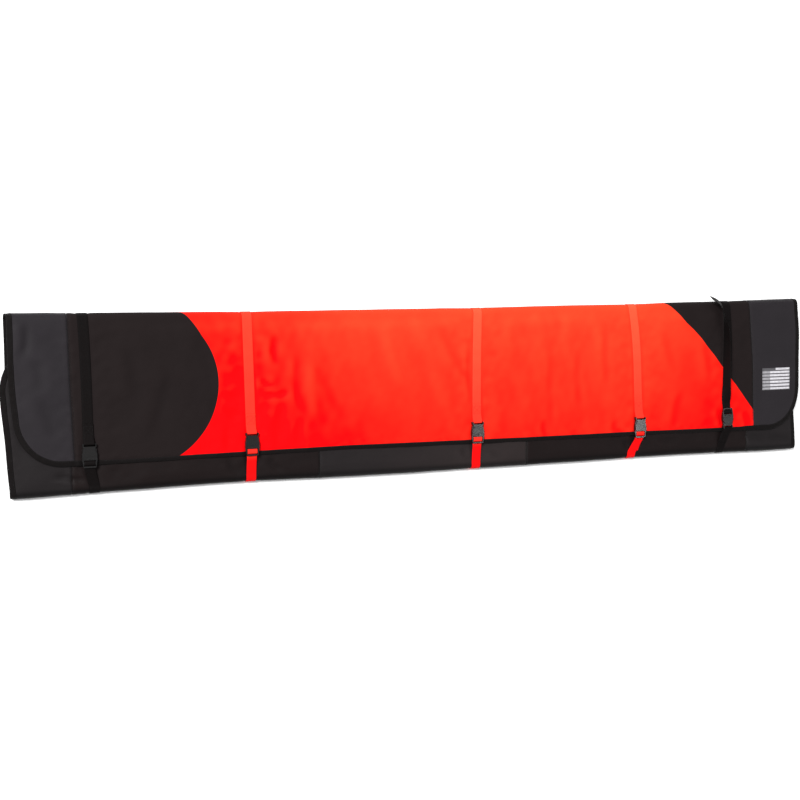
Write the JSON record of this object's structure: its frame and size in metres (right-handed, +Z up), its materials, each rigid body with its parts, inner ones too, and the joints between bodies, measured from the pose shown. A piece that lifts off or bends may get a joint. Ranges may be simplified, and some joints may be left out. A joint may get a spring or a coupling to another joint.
{
  "type": "ski wrap bag",
  "caption": "Long padded fold-over bag for skis: an inner and an outer flap close over the back panel and are held by webbing straps with side-release buckles.",
  "frame": {"origin": "middle of the underside of the back panel, where the bag rests", "axes": "+X along the bag from its left to its right end, +Y across it towards the top fold, +Z up out of the front"},
  "size_m": [2.1212, 0.4196, 0.0556],
  "materials": {
    "print_red": "printed orange-red woven polyester with black blocks at both ends",
    "fabric_black": "black woven polyester, matt",
    "laminate_grey": "dark grey coated polyester with a slight sheen",
    "foam": "closed-cell foam inside the panels",
    "lining": "smooth dark lining",
    "binding_black": "black grosgrain edge tape",
    "webbing_red": "orange-red polypropylene webbing",
    "webbing_black": "black polypropylene webbing",
    "buckle_plastic": "black moulded acetal, satin",
    "label_white": "white woven label, blank"
  },
  "bodies": {
    "bag_body": {"back_end_left": "laminate_grey", "back_end_right": "laminate_grey", "back_facing": "fabric_black", "back_foam": "foam", "back_lining": "lining", "bottom_fold": "fabric_black", "buckle_5_female": "buckle_plastic", "inner_flap_binding": "binding_black", "inner_flap_end_left": "laminate_grey", "inner_flap_end_right": "laminate_grey", "inner_flap_foam": "foam", "inner_flap_lining": "lining", "inner_flap_panel_left": "fabric_black", "inner_flap_panel_right": "fabric_black", "inner_flap_patch": "laminate_grey", "strap_1_fold_web": "webbing_black", "strap_1_lower_web": "webbing_black", "strap_2_fold_web": "webbing_red", "strap_2_lower_web": "webbing_red", "strap_3_fold_web": "webbing_red", "strap_3_lower_web": "webbing_red", "strap_4_fold_web": "webbing_red", "strap_4_lower_web": "webbing_red", "strap_5_fold_web": "webbing_black", "strap_5_lower_web": "webbing_black", "top_fold": "fabric_black"},
    "outer_flap": {"buckle_1_female": "buckle_plastic", "buckle_2_female": "buckle_plastic", "buckle_3_female": "buckle_plastic", "buckle_4_female": "buckle_plastic", "id_label": "label_white", "outer_flap_binding": "binding_black", "outer_flap_end_left": "laminate_grey", "outer_flap_end_right": "laminate_grey", "outer_flap_foam": "foam", "outer_flap_lining": "lining", "outer_flap_print": "print_red", "strap_1_upper_web": "webbing_black", "strap_2_upper_web": "webbing_red", "strap_3_upper_web": "webbing_red", "strap_4_upper_web": "webbing_red", "strap_5_tail": "webbing_black", "strap_5_upper_web": "webbing_black"},
    "male_1": {"buckle_1_male": "buckle_plastic"},
    "prong_1_left": {"buckle_1_prong_left": "buckle_plastic"},
    "prong_1_right": {"buckle_1_prong_right": "buckle_plastic"},
    "male_2": {"buckle_2_male": "buckle_plastic"},
    "prong_2_left": {"buckle_2_prong_left": "buckle_plastic"},
    "prong_2_right": {"buckle_2_prong_right": "buckle_plastic"},
    "male_3": {"buckle_3_male": "buckle_plastic"},
    "prong_3_left": {"buckle_3_prong_left": "buckle_plastic"},
    "prong_3_right": {"buckle_3_prong_right": "buckle_plastic"},
    "male_4": {"buckle_4_male": "buckle_plastic"},
    "prong_4_left": {"buckle_4_prong_left": "buckle_plastic"},
    "prong_4_right": {"buckle_4_prong_right": "buckle_plastic"},
    "male_5": {"buckle_5_male": "buckle_plastic"},
    "prong_5_left": {"buckle_5_prong_left": "buckle_plastic"},
    "prong_5_right": {"buckle_5_prong_right": "buckle_plastic"}
  },
  "joints": [
    {"name": "outer_flap_fold", "type": "hinge", "parent": "bag_body", "child": "outer_flap", "pos_m": [0, 0.18975, 0.01525], "axis": [-1, 0, 0], "range_deg": [0, 170], "deforming": ["top_fold", "strap_1_fold_web", "strap_2_fold_web", "strap_3_fold_web", "strap_4_fold_web", "strap_5_fold_web"]},
    {"name": "buckle_1_release", "type": "slide", "parent": "bag_body", "child": "male_1", "axis": [0, -1, 0], "range_m": [0, 0.024], "deforming": ["strap_1_lower_web", "buckle_1_prong_left", "buckle_1_prong_right"]},
    {"name": "buckle_1_squeeze_left", "type": "hinge", "parent": "male_1", "child": "prong_1_left", "pos_m": [-0.89, -0.1158, 0.0356], "axis": [0, 0, -1], "range_deg": [0, 8], "stiffness_Nm_per_rad": 0.3},
    {"name": "buckle_1_squeeze_right", "type": "hinge", "parent": "male_1", "child": "prong_1_right", "pos_m": [-0.868, -0.1158, 0.0356], "axis": [0, 0, 1], "range_deg": [0, 8], "stiffness_Nm_per_rad": 0.3},
    {"name": "buckle_2_release", "type": "slide", "parent": "bag_body", "child": "male_2", "axis": [0, -1, 0], "range_m": [0, 0.024], "deforming": ["strap_2_lower_web", "buckle_2_prong_left", "buckle_2_prong_right"]},
    {"name": "buckle_2_squeeze_left", "type": "hinge", "parent": "male_2", "child": "prong_2_left", "pos_m": [-0.516, -0.1108, 0.0356], "axis": [0, 0, -1], "range_deg": [0, 8], "stiffness_Nm_per_rad": 0.3},
    {"name": "buckle_2_squeeze_right", "type": "hinge", "parent": "male_2", "child": "prong_2_right", "pos_m": [-0.494, -0.1108, 0.0356], "axis": [0, 0, 1], "range_deg": [0, 8], "stiffness_Nm_per_rad": 0.3},
    {"name": "buckle_3_release", "type": "slide", "parent": "bag_body", "child": "male_3", "axis": [0, -1, 0], "range_m": [0, 0.024], "deforming": ["strap_3_lower_web", "buckle_3_prong_left", "buckle_3_prong_right"]},
    {"name": "buckle_3_squeeze_left", "type": "hinge", "parent": "male_3", "child": "prong_3_left", "pos_m": [0.064, -0.1138, 0.0356], "axis": [0, 0, -1], "range_deg": [0, 8], "stiffness_Nm_per_rad": 0.3},
    {"name": "buckle_3_squeeze_right", "type": "hinge", "parent": "male_3", "child": "prong_3_right", "pos_m": [0.086, -0.1138, 0.0356], "axis": [0, 0, 1], "range_deg": [0, 8], "stiffness_Nm_per_rad": 0.3},
    {"name": "buckle_4_release", "type": "slide", "parent": "bag_body", "child": "male_4", "axis": [0, -1, 0], "range_m": [0, 0.024], "deforming": ["strap_4_lower_web", "buckle_4_prong_left", "buckle_4_prong_right"]},
    {"name": "buckle_4_squeeze_left", "type": "hinge", "parent": "male_4", "child": "prong_4_left", "pos_m": [0.535, -0.1248, 0.0356], "axis": [0, 0, -1], "range_deg": [0, 8], "stiffness_Nm_per_rad": 0.3},
    {"name": "buckle_4_squeeze_right", "type": "hinge", "parent": "male_4", "child": "prong_4_right", "pos_m": [0.557, -0.1248, 0.0356], "axis": [0, 0, 1], "range_deg": [0, 8], "stiffness_Nm_per_rad": 0.3},
    {"name": "buckle_5_release", "type": "slide", "parent": "outer_flap", "child": "male_5", "axis": [0, 1, 0], "range_m": [0, 0.024], "deforming": ["strap_5_upper_web", "buckle_5_prong_left", "buckle_5_prong_right"]},
    {"name": "buckle_5_squeeze_left", "type": "hinge", "parent": "male_5", "child": "prong_5_left", "pos_m": [0.831, -0.1108, 0.0356], "axis": [0, 0, -1], "range_deg": [0, 8], "stiffness_Nm_per_rad": 0.3},
    {"name": "buckle_5_squeeze_right", "type": "hinge", "parent": "male_5", "child": "prong_5_right", "pos_m": [0.809, -0.1108, 0.0356], "axis": [0, 0, 1], "range_deg": [0, 8], "stiffness_Nm_per_rad": 0.3}
  ],
  "couplings": [
    {"joint": "buckle_1_squeeze_right", "follows": "buckle_1_squeeze_left", "ratio": 1},
    {"joint": "buckle_2_squeeze_right", "follows": "buckle_2_squeeze_left", "ratio": 1},
    {"joint": "buckle_3_squeeze_right", "follows": "buckle_3_squeeze_left", "ratio": 1},
    {"joint": "buckle_4_squeeze_right", "follows": "buckle_4_squeeze_left", "ratio": 1},
    {"joint": "buckle_5_squeeze_right", "follows": "buckle_5_squeeze_left", "ratio": 1}
  ]
}
